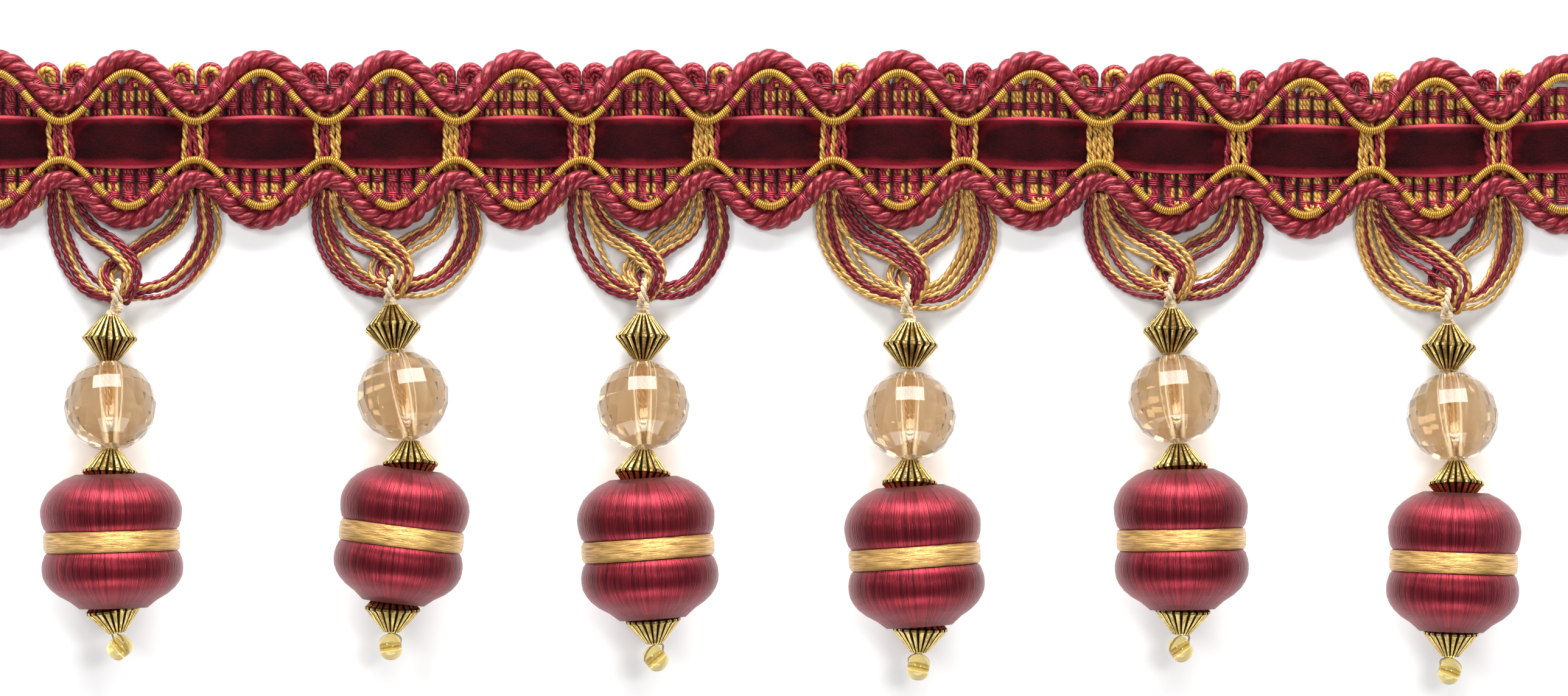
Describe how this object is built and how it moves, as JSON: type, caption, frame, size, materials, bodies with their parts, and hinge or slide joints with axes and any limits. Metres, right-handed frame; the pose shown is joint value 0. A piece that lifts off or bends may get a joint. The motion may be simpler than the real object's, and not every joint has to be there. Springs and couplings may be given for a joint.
{
  "type": "beaded fringe trim",
  "caption": "Cut length of flat woven trim with a velvet ribbon, waved gold and burgundy cords, and beaded drops with floss-wound barrels hanging from yarn loops.",
  "frame": {"origin": "middle of the woven ground's back, on the surface that the trim lies on", "axes": "+X along the trim, +Y from the drops to the heading's top edge, +Z out of the trim's face"},
  "size_m": [0.3109, 0.123, 0.0275],
  "materials": {
    "ground_yarn": "burgundy and gold rayon yarns in ribs",
    "velvet": "cut pile, dark where looked into",
    "twisted_rayon": "glossy plied rayon",
    "gold_gimp": "glossy floss wound over a core",
    "loop_yarn": "two-ply rayon, gold and burgundy",
    "ecru_string": "matte cotton",
    "antique_gold": "plated, dark in the flutes",
    "peach_clear": "clear, facetted and polished",
    "burgundy_floss": "rayon floss laid side by side, satin shine",
    "gold_floss": "rayon floss wound round, satin shine",
    "clear_amber": "clear pale amber glass"
  },
  "bodies": {
    "root": {"woven_ground": "ground_yarn", "velvet_ribbon": "velvet", "twisted_cord_top": "twisted_rayon", "twisted_cord_bottom": "twisted_rayon", "gimp_cord_top": "gold_gimp", "gimp_cord_bottom": "gold_gimp", "drop_1_fringe_loops": "loop_yarn", "drop_1_string": "ecru_string", "drop_1_bicone_upper": "antique_gold", "drop_1_round_bead": "peach_clear", "drop_1_bicone_middle": "antique_gold", "drop_1_barrel": "burgundy_floss", "drop_1_waist_band": "gold_floss", "drop_1_bicone_lower": "antique_gold", "drop_1_tip_bead": "clear_amber", "drop_2_fringe_loops": "loop_yarn", "drop_2_string": "ecru_string", "drop_2_bicone_upper": "antique_gold", "drop_2_round_bead": "peach_clear", "drop_2_bicone_middle": "antique_gold", "drop_2_barrel": "burgundy_floss", "drop_2_waist_band": "gold_floss", "drop_2_bicone_lower": "antique_gold", "drop_2_tip_bead": "clear_amber", "drop_3_fringe_loops": "loop_yarn", "drop_3_string": "ecru_string", "drop_3_bicone_upper": "antique_gold", "drop_3_round_bead": "peach_clear", "drop_3_bicone_middle": "antique_gold", "drop_3_barrel": "burgundy_floss", "drop_3_waist_band": "gold_floss", "drop_3_bicone_lower": "antique_gold", "drop_3_tip_bead": "clear_amber", "drop_4_fringe_loops": "loop_yarn", "drop_4_string": "ecru_string", "drop_4_bicone_upper": "antique_gold", "drop_4_round_bead": "peach_clear", "drop_4_bicone_middle": "antique_gold", "drop_4_barrel": "burgundy_floss", "drop_4_waist_band": "gold_floss", "drop_4_bicone_lower": "antique_gold", "drop_4_tip_bead": "clear_amber", "drop_5_fringe_loops": "loop_yarn", "drop_5_string": "ecru_string", "drop_5_bicone_upper": "antique_gold", "drop_5_round_bead": "peach_clear", "drop_5_bicone_middle": "antique_gold", "drop_5_barrel": "burgundy_floss", "drop_5_waist_band": "gold_floss", "drop_5_bicone_lower": "antique_gold", "drop_5_tip_bead": "clear_amber", "drop_6_fringe_loops": "loop_yarn", "drop_6_string": "ecru_string", "drop_6_bicone_upper": "antique_gold", "drop_6_round_bead": "peach_clear", "drop_6_bicone_middle": "antique_gold", "drop_6_barrel": "burgundy_floss", "drop_6_waist_band": "gold_floss", "drop_6_bicone_lower": "antique_gold", "drop_6_tip_bead": "clear_amber"}
  },
  "joints": []
}
